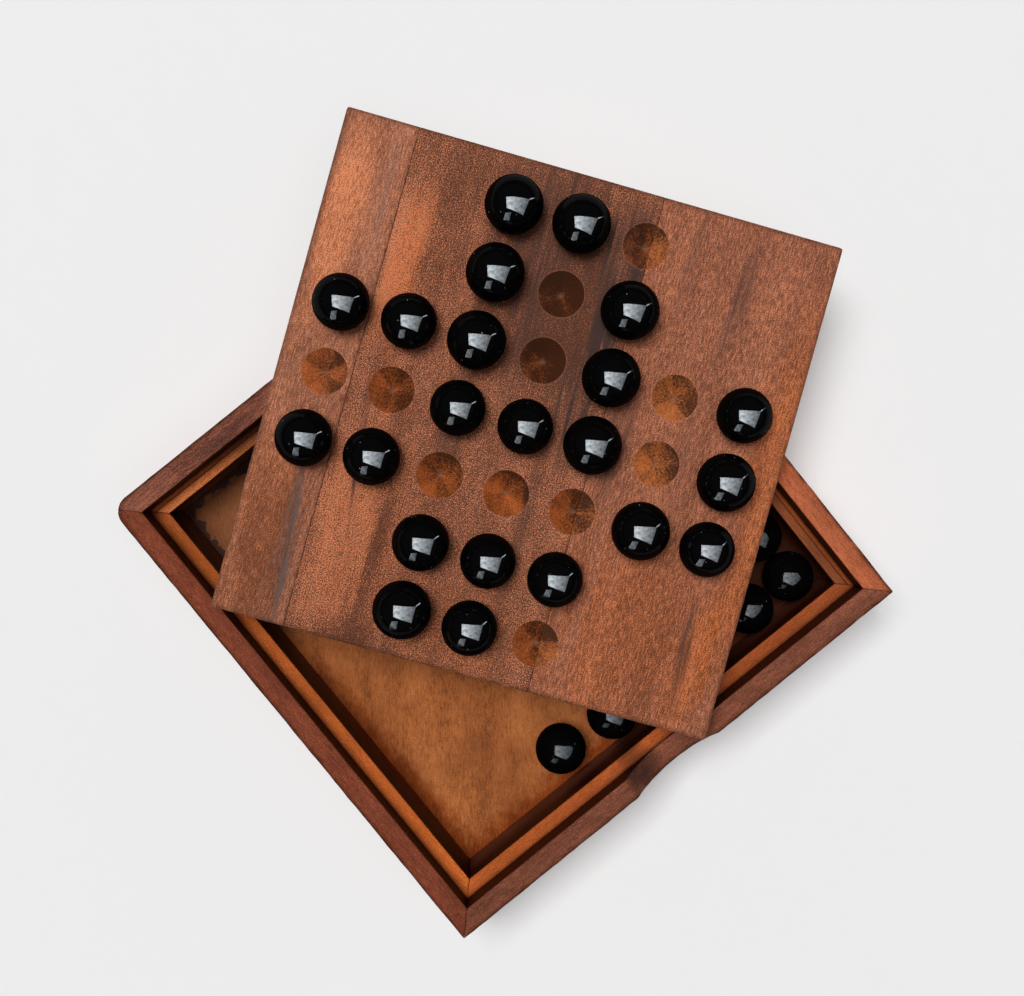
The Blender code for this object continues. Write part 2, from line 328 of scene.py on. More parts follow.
cupPattern = dict(
    level=0.27,  # tone from 0, dark, to 1, light
    across=0.12,  # how much lighter the walls are where the cut runs with the grain
    shadedSide=(-0.25, -0.25, 0.0),  # painted shade: one side of each cup is darker, as if lit from the other side
    figure=0.7, greyness=-0.3, patches=0.32, sectors=0.30, stipple=0.17,
    torn=(0.15, 0.75, 0.28, 0.12),  # the flecks' weight, from near the middle to near the lip
    fleckNoise=(1.3, 1.0, 0.0, 0.40, 0.60),
    fleckSpokes=8,
    fleckRings=5.0,
    stippleNoise=(2900, 2200, 0.5, 0.0, 0.43, 0.57),
    patchNoise=(140, 100, 1.5, 0.3, 0.36, 0.64),
    sectorNoise=(1.0, 0.5, 0.0, 0.42, 0.58),
    sectorSpokes=1.1,
    apart=170,  # how often the noise changes in a metre from cup to cup
    bare=(0.23, 0.135, 0.09),  # the colour of the middle, where the drill's point was
    bareReach=(0.03, 0.18, 0.55, 0.0),  # from this radius to that one it fades from this share to that
    cutReach=(0.985, 1.0, 1, 0),  # the same for the cup's own colour
    # a lighter line just outside the mouth: a painted highlight on the lip's edge
    lip=0.22,
    lipAt=1.015,
    lipReach=(0.005, 0.035),
)


def makeCupGroup():
    # turned cups: the mask "cup" holds the place in the cup, as shares of its mouth, and 1 near it.
    # Walls towards Y cut across the grain and are darker, and one side of each cup is darker still as
    # painted shade. Soft patches differ from cup to cup, sectors that shine differently meet at the middle,
    # and the tool left torn flecks that point there. A lighter line round the lip is a painted highlight.
    group, given, result = newGroup(
        "turnedCup", ["Cup", "Place"], ["Color", "Dark", "Light", "Lip", "Grey"], ["Figure", "Greyness"],
        ["Color", "Height"],
    )
    place, apart = given["Place"], (cupPattern["apart"],) * 3
    parts = addNode(group, "SeparateXYZ", {0: given["Cup"]}).outputs
    flat = addNode(group, "CombineXYZ", {"X": parts["X"], "Y": parts["Y"]}).outputs[0]
    radius = mathsOf(group, "LENGTH", flat, output="Value")
    direction = mathsOf(group, "NORMALIZE", flat)
    # flecks: noise over the direction and the radius
    outward = calc(group, "MULTIPLY", radius, cupPattern["fleckRings"])
    outward = addNode(group, "CombineXYZ", {"Z": outward}).outputs[0]
    spokes = mathsOf(group, "MULTIPLY", direction, (cupPattern["fleckSpokes"],) * 3)
    fleckWay = mathsOf(group, "ADD", spokes, outward)
    fleckWay = mathsOf(group, "ADD", fleckWay, mathsOf(group, "MULTIPLY", place, apart))
    flecks = noiseOf(group, fleckWay, cupPattern["fleckNoise"], -1, 1)
    stipple = grainOf(group, place, cupPattern["stippleNoise"])
    patches = grainOf(group, place, cupPattern["patchNoise"], -0.5, 0.5)
    # sectors: noise over the direction, moved by the cup's own place
    inCup = mathsOf(group, "MULTIPLY", flat, (board["cupMouth"],) * 3)
    centre = mathsOf(group, "MULTIPLY", mathsOf(group, "SUBTRACT", place, inCup), (*apart[:2], 0))
    spokes = mathsOf(group, "MULTIPLY", direction, (cupPattern["sectorSpokes"],) * 3)
    sectorWay = mathsOf(group, "ADD", spokes, centre)
    sectors = noiseOf(group, sectorWay, cupPattern["sectorNoise"], -0.5, 0.5)
    across = calc(group, "DIVIDE", parts["X"], calc(group, "MAXIMUM", radius, 0.02))
    across = calc(group, "MULTIPLY", across, across)
    # one side of the cup painted darker as shade
    tone = mathsOf(group, "DOT_PRODUCT", flat, cupPattern["shadedSide"], "Value")
    tone = calc(group, "ADD", tone, cupPattern["level"])
    tone = addUp(group, tone, [
        (across, cupPattern["across"]), (given["Figure"], cupPattern["figure"]),
        (given["Greyness"], cupPattern["greyness"]), (patches, cupPattern["patches"]),
        (sectors, cupPattern["sectors"]), (flecks, spread(group, radius, *cupPattern["torn"])),
        (stipple, cupPattern["stipple"]),
    ])
    cut = blendColour(group, tone, given["Dark"], given["Light"])
    cut = blendColour(group, calc(group, "MULTIPLY", given["Greyness"], 0.25), cut, given["Grey"])
    middle = spread(group, addUp(group, radius, [(flecks, 0.05)]), *cupPattern["bareReach"])
    cut = blendColour(group, middle, cut, cupPattern["bare"])
    inside = calc(group, "MULTIPLY", spread(group, radius, *cupPattern["cutReach"]), parts["Z"])
    # a painted highlight on the lip
    lip = calc(group, "ABSOLUTE", calc(group, "SUBTRACT", radius, cupPattern["lipAt"]))
    lip = spread(group, lip, *cupPattern["lipReach"], cupPattern["lip"], 0)
    lip = calc(group, "MULTIPLY", lip, parts["Z"])
    colour = blendColour(group, inside, given["Color"], cut)
    colour = blendColour(group, lip, colour, given["Lip"])
    height = calc(group, "MULTIPLY", addUp(group, flecks, [(stipple, 0.5)]), inside)
    connect(result, {"Color": colour, "Height": height})
    return group


woodGroup = makeWoodGroup()
markGroup = makeMarkGroup()
wearGroup = makeShadedWornEdgeGroup()


def newMaterial(name, colour):
    material = bpy.data.materials.new(name)
    material.use_nodes = True
    material.diffuse_color = (*colour, 1)
    tree = material.node_tree
    return material, tree, tree.nodes["Principled BSDF"]


def groupNode(tree, group, feeds):
    return addNode(tree, "Group", feeds, node_tree=group).outputs


def mask(tree, name, output="Fac"):
    return addNode(tree, "Attribute", attribute_name=name).outputs[output]


def valuesOf(look, *sockets):  # a look's colours and shares for the sockets of these names
    return {socket: look[socket.lower()] for socket in sockets}


def addMarks(tree, place, marks):
    # the sum of a piece's own marks: (middle x, y, half width, half length) in millimetres, lean, strength
    shares = []
    for x, y, width, length, lean, strength in marks:
        feeds = {"Place": place, "Middle": (x / 1000, y / 1000, 0.0), "Lean": lean}
        feeds.update({"Width": width / 1000, "Length": length / 1000})
        shares.append((groupNode(tree, markGroup, feeds)["Share"], strength))
    return addUp(tree, 0.0, shares)


oilFinish = dict(
    warm=(1.08, 0.84, 0.50),  # what old oil does to a colour
    # the colour and share of the painted shade in the ledge's inner corner, also used for the groove's dark
    # line
    cornerShadeAndGroove=(0.03, 0.012, 0.006),
    cornerShadeAndGrooveShare=0.85,
    evenness=0.2,  # share by which the ledge, which the board covers, stays fresh and even
    unevenGloss=0.04,
    rubbedGloss=-0.12,
    relief=0.0002,
    specular=0.12,
)


def makeWood(look, place, tree, shader, cups=False):
    # look holds the wood's colours and shares; place has the grain along its Y
    marks = {
        "Figure": addMarks(tree, place, look.get("figure", ())),
        "Greyness": addMarks(tree, place, look.get("greys", ())),
    }
    feeds = {"Place": place, **marks, **valuesOf(look, *woodColours, *woodShares)}
    wood = groupNode(tree, woodGroup, feeds)
    colour, height = wood["Color"], wood["Height"]
    if "warms" in look:  # places where the oil has turned the wood to orange
        warm = addMarks(tree, place, look["warms"])
        colour = blendColour(tree, warm, colour, oilFinish["warm"], "MULTIPLY")

    if cups:
        feeds = {"Cup": mask(tree, "cup", "Vector"), "Place": place, "Color": colour, **marks}
        feeds.update({"Dark": look["cupDark"], "Light": look["cupLight"], **valuesOf(look, "Lip", "Grey")})
        cup = groupNode(tree, cupGroup, feeds)
        colour, height = cup["Color"], addUp(tree, height, [(cup["Height"], 1.2)])
    else:
        even = blendColour(tree, oilFinish["evenness"], colour, look["middle"])
        oiled = blendColour(tree, mask(tree, "far"), look["ledge"], look.get("ledgeEnd", look["ledge"]))
        oiled = blendColour(tree, mask(tree, "strip"), oiled, look.get("strip", look["ledge"]))
        ledgeColour = blendColour(tree, 1.0, even, oiled, "MULTIPLY")
        colour = blendColour(tree, mask(tree, "ledge"), colour, ledgeColour)
        # painted shade darkens the walls below the rim and the ledge in its inner corner, and the groove has
        # a dark line
        colour = blendColour(tree, mask(tree, "wall"), colour, look["wall"], "MULTIPLY")
        cornerShadeAndGroove = calc(tree, "MULTIPLY", mask(tree, "cornerShadeAndGroove"), oilFinish["cornerShadeAndGrooveShare"])
        colour = blendColour(tree, cornerShadeAndGroove, colour, oilFinish["cornerShadeAndGroove"])
    # the rounded edges get a broken line of painted shade, and polish that makes them smoother
    feeds = {"Place": place, "Color": colour, "Edge": mask(tree, "edge"), "Amount": look["wear"]}
    wear = groupNode(tree, wearGroup, {**feeds, "EdgeShade": look["edgeShade"]})
    rough = addUp(tree, look["roughness"], [(wood["Height"], oilFinish["unevenGloss"])])
    rough = calc(tree, "MULTIPLY_ADD", wear["Share"], oilFinish["rubbedGloss"], rough, clamp=True)
    connect(shader, {
        "Base Color": wear["Color"], "Roughness": rough, "Specular IOR Level": oilFinish["specular"],
        "Normal": bumpOf(tree, 0.35, oilFinish["relief"], height),
    })


# Where things are, worked out from the frame

rowStep = (middleOf("marble_r3_c7") - middleOf("marble_r3_c1"))[:2] / 6
pitch = float(np.hypot(*rowStep))
alongRow = rowStep / pitch
upColumn = np.array([-alongRow[1], alongRow[0]])
boardTurn = math.atan2(alongRow[1], alongRow[0])
centreCup = middleOf("marble_r4_c4")[:2]
plankNames = ("plank_left", "plank_middle", "plank_right")


def onBoard(points):  # row-frame points as distances from the centre cup, along a row and up a column
    away = points[:, :2] - centreCup
    return np.stack([away @ alongRow, away @ upColumn], axis=1)


def toRow(x, y, z):  # the reverse, with the height added
    flat = centreCup + np.asarray(x)[..., None] * alongRow + np.asarray(y)[..., None] * upColumn
    return np.concatenate([flat, np.broadcast_to(z, flat.shape[:-1])[..., None]], axis=-1)


boardPoints = np.concatenate([nodePoints(name) for name in plankNames])
boardLow, boardHigh = onBoard(boardPoints).min(axis=0), onBoard(boardPoints).max(axis=0)
boardTop, boardBottom = boardPoints[:, 2].max(), boardPoints[:, 2].min()


# The board

board = dict(
    gridStep=0.001,  # spacing of the mesh on the flat
    arris=0.0005,  # roundness of the outer edges
    arrisSides=4,
    cornerRound=0.0006,
    glueLine=0.00013,  # what shows between two planks
    cadSeam=0.0003,  # what the CAD model keeps between them
    sideShares=(0.3, 0.55, 0.8),  # heights of the side's rings
    edgeReach=0.0009,  # how far in the painted shade of the rounded edges reaches
    cupMouth=0.0068,  # radius
    cupDepth=0.0042,
    cupWallPower=1.2,  # 1 is a straight cone, 2 a round bowl
    cupLipEase=0.00006,
    cupTipDepth=0.00030,  # the drill's point at the bottom
    cupTipRadius=0.00045,
    cupRings=26,
    ringPower=0.9,  # below 1 the rings lie closer together at the lip
    cellRim=0.00035,  # flat wood round the lip that belongs to the cup
    rowCups=(3, 3, 7, 7, 7, 3, 3),
)
cupGroup = makeCupGroup()

cupPlaces = [
    ((column - cups // 2) * pitch, (len(board["rowCups"]) // 2 - row) * pitch)
    for row, cups in enumerate(board["rowCups"])
    for column in range(cups)
]


def cupDrop(radius):
    # depth below the board's top: the cup's depth times one minus the radius, as a share of the mouth's,
    # to a power, eased at the lip, and a small pit left by the drill's point
    wall = board["cupDepth"] * (1 - (radius / board["cupMouth"]) ** board["cupWallPower"])
    tip = board["cupTipDepth"] * np.exp(-((radius / board["cupTipRadius"]) ** 2))
    return softMax(wall, board["cupLipEase"]) + tip


def cupCell(middle, xLines, yLines):
    # the part of a plank round one cup: rings that run from a pole out to the cup's lip and on to the
    # edges of a rectangle of grid lines. Rays go from the pole to each grid point on those edges. Where
    # a glue line cuts the cup, the pole lies on that line and the rays cover half a turn.
    lip = board["cupMouth"] + board["cellRim"]
    low, high = xLines[0], xLines[-1]
    cutRight, cutLeft = high - middle[0] < lip, middle[0] - low < lip
    pole = np.array([high if cutRight else low if cutLeft else middle[0], middle[1]])
    right = np.stack([np.full(len(yLines), high), yLines], axis=1)
    top = np.stack([xLines[::-1], np.full(len(xLines), yLines[-1])], axis=1)
    left = np.stack([np.full(len(yLines), low), yLines[::-1]], axis=1)
    bottom = np.stack([xLines, np.full(len(xLines), yLines[0])], axis=1)
    if cutRight:
        edge = np.concatenate([top[:-1], left[:-1], bottom])
    elif cutLeft:
        edge = np.concatenate([bottom[:-1], right[:-1], top])
    else:
        edge = np.concatenate([right[:-1], top[:-1], left[:-1], bottom[:-1]])
    reach = np.hypot(*(edge - pole).T)
    way = (edge - pole) / reach[:, None]
    away = pole - middle
    slant = way @ away
    toLip = -slant + np.sqrt(slant**2 - (away @ away - lip**2))
    ringShares = np.linspace(0, 1, board["cupRings"] + 1)[1:] ** board["ringPower"]
    between = toLip + (reach - toLip) * 0.45
    rings = np.concatenate([ringShares[:, None] * toLip, between[None], reach[None]])
    spots = pole + rings[..., None] * way
    closed = not (cutRight or cutLeft)
    count = len(edge)
    points = np.concatenate([pole[None], spots.reshape(-1, 2)])
    radius = np.hypot(*(points - middle).T)
    drop = cupDrop(radius)
    drop[-count:] = 0.0  # the rectangle's edges are level, and meet the flat
    fan = fanFaces(0, 1 + np.arange(count), closed)
    quads = gridFaces(len(rings), count, 1, closed)[:, [0, 3, 2, 1]]
    near = radius < lip + 1e-6
    cup = np.column_stack([(points - middle) / board["cupMouth"], near])
    return points, drop, fan, quads, cup


def makePlank(name, nodeName, material):
    # flat grid squares, a cell for each cup, then rings that go round the outline, over the rounded
    # edge, down the side and under, and one face below
    local = onBoard(nodePoints(nodeName))
    low, high = local.min(axis=0), local.max(axis=0)
    glued = (low[0] > boardLow[0] + board["arris"], high[0] < boardHigh[0] - board["arris"])
    widen = (board["cadSeam"] - board["glueLine"]) / 2
    left, right = low[0] - widen * glued[0], high[0] + widen * glued[1]
    half = pitch / 2
    columns = sorted({x + side * half for x, _ in cupPlaces for side in (-1, 1)})
    rowsAt = sorted({y + side * half for _, y in cupPlaces for side in (-1, 1)})
    xStops = [left] + [x for x in columns if left + half / 20 < x < right - half / 20] + [right]
    yStops = [low[1]] + rowsAt + [high[1]]
    xLines, yLines = placesBetween(xStops, board["gridStep"]), placesBetween(yStops, board["gridStep"])
    gridX, gridY = np.meshgrid(xLines, yLines)
    flatPoints = np.stack([gridX.ravel(), gridY.ravel()], axis=1)
    squares = gridFaces(len(yLines), len(xLines))
    centres = flatPoints[squares].mean(axis=1)

    points, drops = [flatPoints], [np.zeros(len(flatPoints))]
    cups = [np.zeros((len(flatPoints), 3))]
    triangles, quads, start = [], [], len(flatPoints)
    free = np.ones(len(squares), bool)
    for x, y in cupPlaces:
        if not (left - board["cupMouth"] < x < right + board["cupMouth"]):
            continue
        inX = xLines[(xLines > x - half - 1e-6) & (xLines < x + half + 1e-6)]
        inY = yLines[(yLines > y - half - 1e-6) & (yLines < y + half + 1e-6)]
        free &= ~((np.abs(centres[:, 0] - x) < half) & (np.abs(centres[:, 1] - y) < half))
        spots, drop, fan, ringQuads, cup = cupCell(np.array([x, y]), inX, inY)
        points.append(spots), drops.append(drop), cups.append(cup)
        triangles.append(fan + start), quads.append(ringQuads + start)
        start += len(spots)
    points, drops, cups = np.concatenate(points), np.concatenate(drops), np.concatenate(cups)
    triangles = np.concatenate(triangles)
    quads = np.concatenate([squares[free]] + quads)

    # points that several cells share become one
    used, backUsed = np.unique(np.concatenate([triangles.ravel(), quads.ravel()]), return_inverse=True)
    keys = np.round(points[used] * 1e7).astype(np.int64)
    _, firsts, back = np.unique(keys, axis=0, return_index=True, return_inverse=True)
    points, drops, cups = (values[used][firsts] for values in (points, drops, cups))
    renumbered = back.ravel()[backUsed.ravel()]
    triangles = renumbered[: triangles.size].reshape(-1, 3)
    quads = renumbered[triangles.size:].reshape(-1, 4)

    # the outline, in order round the plank's middle
    near = 1e-6
    onOutline = (
        (points[:, 0] < left + near) | (points[:, 0] > right - near)
        | (points[:, 1] < low[1] + near) | (points[:, 1] > high[1] - near)
    )
    outline = np.flatnonzero(onOutline)
    middle = np.array([(left + right) / 2, (low[1] + high[1]) / 2])
    spanned = (points[outline] - middle) / np.array([right - left, high[1] - low[1]])
    outline = outline[np.argsort(np.arctan2(spanned[:, 1], spanned[:, 0]))]
    turnSteps = np.linspace(0, math.pi / 2, board["arrisSides"] + 1)
    over = [(board["arris"] * (1 - math.sin(t)), board["arris"] * (1 - math.cos(t))) for t in turnSteps]
    depth = boardTop - boardBottom
    sides = [(0.0, depth * share) for share in board["sideShares"]]
    under = [(inset, depth - drop) for inset, drop in reversed(over)]
    rings, ringDrops = [], []
    for inset, drop in over + sides + under:
        ring = points[outline].copy()
        ring[:, 0] = np.clip(ring[:, 0], left + inset * (not glued[0]), right - inset * (not glued[1]))
        ring[:, 1] = np.clip(ring[:, 1], low[1] + inset, high[1] - inset)
        rings.append(ring)
        ringDrops.append(np.maximum(drop, drops[outline] * (drop < depth / 2)))
    points[outline] = rings[0]
    count, first = len(outline), len(points)
    numbers = np.concatenate([outline, first + np.arange((len(rings) - 1) * count)])
    wall = numbers[gridFaces(len(rings), count, 0, True)[:, [0, 3, 2, 1]]]
    base = numbers[-count:][::-1][None]
    points = np.concatenate([points] + rings[1:])
    drops = np.concatenate([drops] + ringDrops[1:])
    cups = np.concatenate([cups, np.zeros(((len(rings) - 1) * count, 3))])
    toEdge = np.minimum(points[:, 1] - boardLow[1], boardHigh[1] - points[:, 1])
    toEdge = np.minimum(toEdge, np.minimum(points[:, 0] - boardLow[0], boardHigh[0] - points[:, 0]))
    fromCorner = np.hypot(np.maximum(toEdge, 0), np.minimum(drops, depth - drops))
    # where the painted shade of the rounded outer edges lies
    edges = np.exp(-((fromCorner / board["edgeReach"]) ** 2))

    flat = points.copy()
    for sideX, edgeX in ((-1, boardLow[0]), (1, boardHigh[0])):
        for sideY, edgeY in ((-1, boardLow[1]), (1, boardHigh[1])):
            side = np.array([sideX, sideY])
            at = np.array([edgeX, edgeY]) - side * board["cornerRound"]
            flat = roundCorner(flat, at, side)
    spots = toRow(flat[:, 0], flat[:, 1], boardTop - drops)
    masks = {"cup": cups, "edge": edges}
    piece = makePiece(name, spots, [triangles, quads, wall, base], material, masks)
    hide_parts(nodeName)
    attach(piece, "board")


# the amount sets the painted shade along the rounded outer edges and their polish; each look's edge colour
# is that shade
plankWood = dict(wear=0.7, roughness=0.5)
plankLooks = {
    # figure, warms and greys are marks: middle x, y, half width, half length in millimetres from the
    # centre cup, lean, strength
    # each look's lip colour is the painted highlight on the cups' lips
    "plank_left": dict(
        plankWood,
        dark=(0.130, 0.048, 0.028), middle=(0.335, 0.120, 0.064), light=(0.800, 0.320, 0.175),
        grey=(0.125, 0.096, 0.094), edgeShade=(0.085, 0.030, 0.018),
        bands=0.22, clouds=0.15, fibres=0.42, flecks=0.5, veins=0.12,
        cupDark=(0.075, 0.028, 0.014), cupLight=(0.590, 0.158, 0.046), lip=(0.50, 0.22, 0.12),
        figure=(
            (-68, 42, 10, 40, 0.0, 0.5), (-65, -56, 13, 36, 0.0, -0.5), (-58.4, -48, 1.1, 34, -0.067, -0.35),
            (-57, 48, 4, 30, 0.0, 0.25),
        ),
        warms=((-66, -50, 12, 45, 0.0, 0.4), (-69, 42, 9, 44, 0.0, 0.4)),
        greys=(
            (-58.4, -48, 1.4, 38, -0.067, 0.34), (-58.4, -48, 3.6, 44, -0.067, 0.30),
            (-57, 52, 3.0, 30, 0.0, 0.2), (-73.5, 60, 2.5, 14, 0.0, 0.3),
        ),
    ),
    "plank_middle": dict(
        plankWood,
        dark=(0.088, 0.035, 0.023), middle=(0.197, 0.070, 0.037), light=(0.690, 0.245, 0.125),
        grey=(0.066, 0.038, 0.032), edgeShade=(0.075, 0.028, 0.017),
        bands=0.2, clouds=0.22, fibres=0.26, flecks=0.95, veins=0.12,
        cupDark=(0.056, 0.018, 0.008), cupLight=(0.470, 0.118, 0.030), lip=(0.40, 0.17, 0.09),
        figure=(
            (-49, 38, 10, 34, 0.0, 0.9), (-44, -44, 13, 56, 0.0, 0.6), (-6, 42, 32, 46, 0.0, -0.65),
            (-22, 10, 10, 60, 0.0, -0.2), (-34, 66, 22, 20, 0.0, -0.25), (4, -60, 20, 26, 0.0, -0.1),
            (-33, -52, 2.5, 30, 0.02, -0.5), (-38, -78, 22, 16, 0.0, -0.75),
            (0, 20, 10, 10, 0.0, -0.38), (-1, -20, 10, 10, 0.0, 0.6),
        ),
        warms=((-46, 34, 10, 36, 0.0, 0.5), (-40, -50, 20, 50, 0.0, 0.3), (-4, -66, 24, 26, 0.0, 0.3)),
        greys=(
            (15, 48, 11, 32, 0.0, 0.85), (13, 12, 10, 32, 0.0, 0.6), (-10, 60, 18, 26, 0.0, 0.45),
            (-44.5, -22, 1.0, 36, -0.1, 0.7), (-47.5, -6, 0.7, 16, -0.1, 0.4), (-22, -4, 6, 20, 0.0, 0.35),
            (-8, 30, 8, 36, 0.0, 0.45), (6, -30, 3, 30, 0.0, 0.3),
        ),
    ),
    "plank_right": dict(
        plankWood,
        dark=(0.120, 0.046, 0.028), middle=(0.297, 0.104, 0.057), light=(0.690, 0.248, 0.126),
        grey=(0.078, 0.046, 0.044), edgeShade=(0.085, 0.030, 0.017),
        bands=0.22, clouds=0.14, fibres=0.52, flecks=0.62, veins=0.1,
        cupDark=(0.075, 0.028, 0.014), cupLight=(0.640, 0.190, 0.055), lip=(0.50, 0.22, 0.12),
        figure=(
            (73, 10, 5, 70, 0.0, 0.35), (66, -52, 5, 24, 0.12, 0.3), (30, 55, 10, 26, 0.0, 0.2),
            (44, -48, 22, 38, 0.0, -0.15),
        ),
        warms=((72, 0, 10, 76, 0.0, 0.7), (44, -52, 30, 44, 0.0, 0.55), (66, -52, 8, 30, 0.1, 0.6)),
        greys=(
            (49.5, 50, 2.6, 28, 0.1, 0.42), (33.5, 56, 2.6, 24, 0.08, 0.35), (26, 5, 5, 24, 0.0, 0.45),
            (62, -54, 3.0, 24, -0.06, 0.6), (46, -2, 3, 30, 0.0, 0.2), (22.5, -44, 1.6, 30, 0.0, 0.3),
        ),
    ),
}
boardFrame = tuple(toRow(*((boardLow + boardHigh) / 2), boardTop))
for nodeName, look in plankLooks.items():
    woodMaterial, tree, shader = newMaterial(nodeName + "_wood", look["middle"])
    coordinates = addNode(tree, "TexCoord").outputs["Object"]
    feeds = {"Vector": coordinates, "Location": boardFrame, "Rotation": (0, 0, boardTurn)}
    place = addNode(tree, "Mapping", feeds, vector_type="TEXTURE").outputs[0]
    makeWood(look, place, tree, shader, cups=True)
    makePlank(nodeName.replace("plank", "board_plank"), nodeName, woodMaterial)
print("scene: board made")


# The box's rails

frontLow, frontHigh = (np.array(corner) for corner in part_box("rail_front"))
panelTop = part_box("base_panel")[1][2]
boxHalf = -frontLow[1]
boxHeight = frontHigh[2]
railWidth = frontHigh[1] - frontLow[1]

rails = dict(
    rimWidth=0.0066,
    ledgeHeight=0.0250,
    panelLap=0.0050,
    panelSeat=0.0003,  # room round the panel
    step=0.001,  # spacing of the mesh along a rail
    sectionStep=0.0018,
    roundingRoom=2.2,  # the first point of a straight stretch, as a share of the rounding before it
    grooveStops=(-4.0, -2.5, -1.5, -1.0, -0.5, 0.0, 0.5, 1.0, 2.0),  # points by the groove, in its widths
    arrisSides=4,
    outerArris=0.0008,
    innerArris=0.0004,
    ledgeArris=0.0004,
    footArris=0.0005,
    mitreLine=0.00012,  # what shows between two rails
    notchWidth=0.0306,
    notchDepth=0.0082,
    notchEase=0.00035,
    notchReach=1.15,  # the mesh is finer up to this share of the notch's half width
    notchStep=0.0004,
    waver=0.22,  # share by which hand work has left the roundings uneven
    wornRadius=0.0055,
    grooveAt=0.0014,  # the cutter's line on two of the ledges, in from the rebate's wall
    grooveWidth=0.00028,
    grooveDepth=0.00022,
    grooveDirt=0.9,
    wallFade=0.6,  # share by which the walls' painted shade lifts towards the panel, as painted light bounced off it
    fadeHeight=0.0150,
    edgeReach=0.0008,  # width of the painted shade along the rim's rounded outer edge
    cornerShadeReach=0.0008,  # how far the painted shade in the ledge's inner corner reaches
)


def railSection():
    # the rail's outline from corner to corner, as distance in from the box's outside and height. Each
    # point is a corner plus its radius times a unit offset, so that the radius can change along the
    # rail: the offset of a quarter round at angle t is a + b - b cos t - a sin t, with a and b the
    # directions to the corners before and after.
    seat = panelTop + rails["panelSeat"]
    rim, lap = rails["rimWidth"], railWidth - rails["panelLap"]
    ledge, top = rails["ledgeHeight"], boxHeight
    # distance in, height, rounding, and whether the stretch that follows is the ledge or a wall darkened as
    # painted shade
    corners = [
        (0.0, 0.0, "footArris", 0, 0), (lap, 0.0, None, 0, 1), (lap, seat, None, 0, 1),
        (railWidth, seat, None, 0, 1), (railWidth, ledge, "ledgeArris", 1, 0), (rim, ledge, None, 0, 1),
        (rim, top, "innerArris", 0, 0), (0.0, top, "outerArris", 0, 0),
    ]
    places = np.array([corner[:2] for corner in corners])
    radii = [rails[corner[2]] if corner[2] else 0.0 for corner in corners]
    rows = []
    for number, (here, radius, nextRadius) in enumerate(zip(places, radii, radii[1:] + radii[:1])):
        before, after = places[number - 1] - here, places[(number + 1) % len(places)] - here
        length = np.hypot(*after)
        a, b = before / np.hypot(*before), after / length
        t = np.linspace(0, math.pi / 2, rails["arrisSides"] + 1)[:, None]
        offset = a + b - b * np.cos(t) - a * np.sin(t) if radius else np.zeros((1, 2))
        start, stop = radius * rails["roundingRoom"], length - nextRadius * rails["roundingRoom"]
        steps = max(2, int(round((stop - start) / rails["sectionStep"])) + 1)
        distances = np.linspace(max(start, length * 0.02), min(stop, length * 0.98), steps)
        onLedge, onWall = corners[number][3:]
        if onLedge:  # closer together towards the wall, where the groove and the dirt are
            fine = rails["grooveAt"] + rails["grooveWidth"] * np.array(rails["grooveStops"])
            distances = np.sort(np.concatenate([distances, length - fine]))
        straight = here + distances[:, None] * b
        for bases, offsets, size in ((here + 0 * offset, offset, radius), (straight, 0 * straight, 0.0)):
            rows.append(np.hstack([bases, offsets, np.tile([size, onLedge, onWall], (len(bases), 1))]))
    base, offset, rest = np.split(np.concatenate(rows), [2, 4], axis=1)
    return base, offset, *rest.T


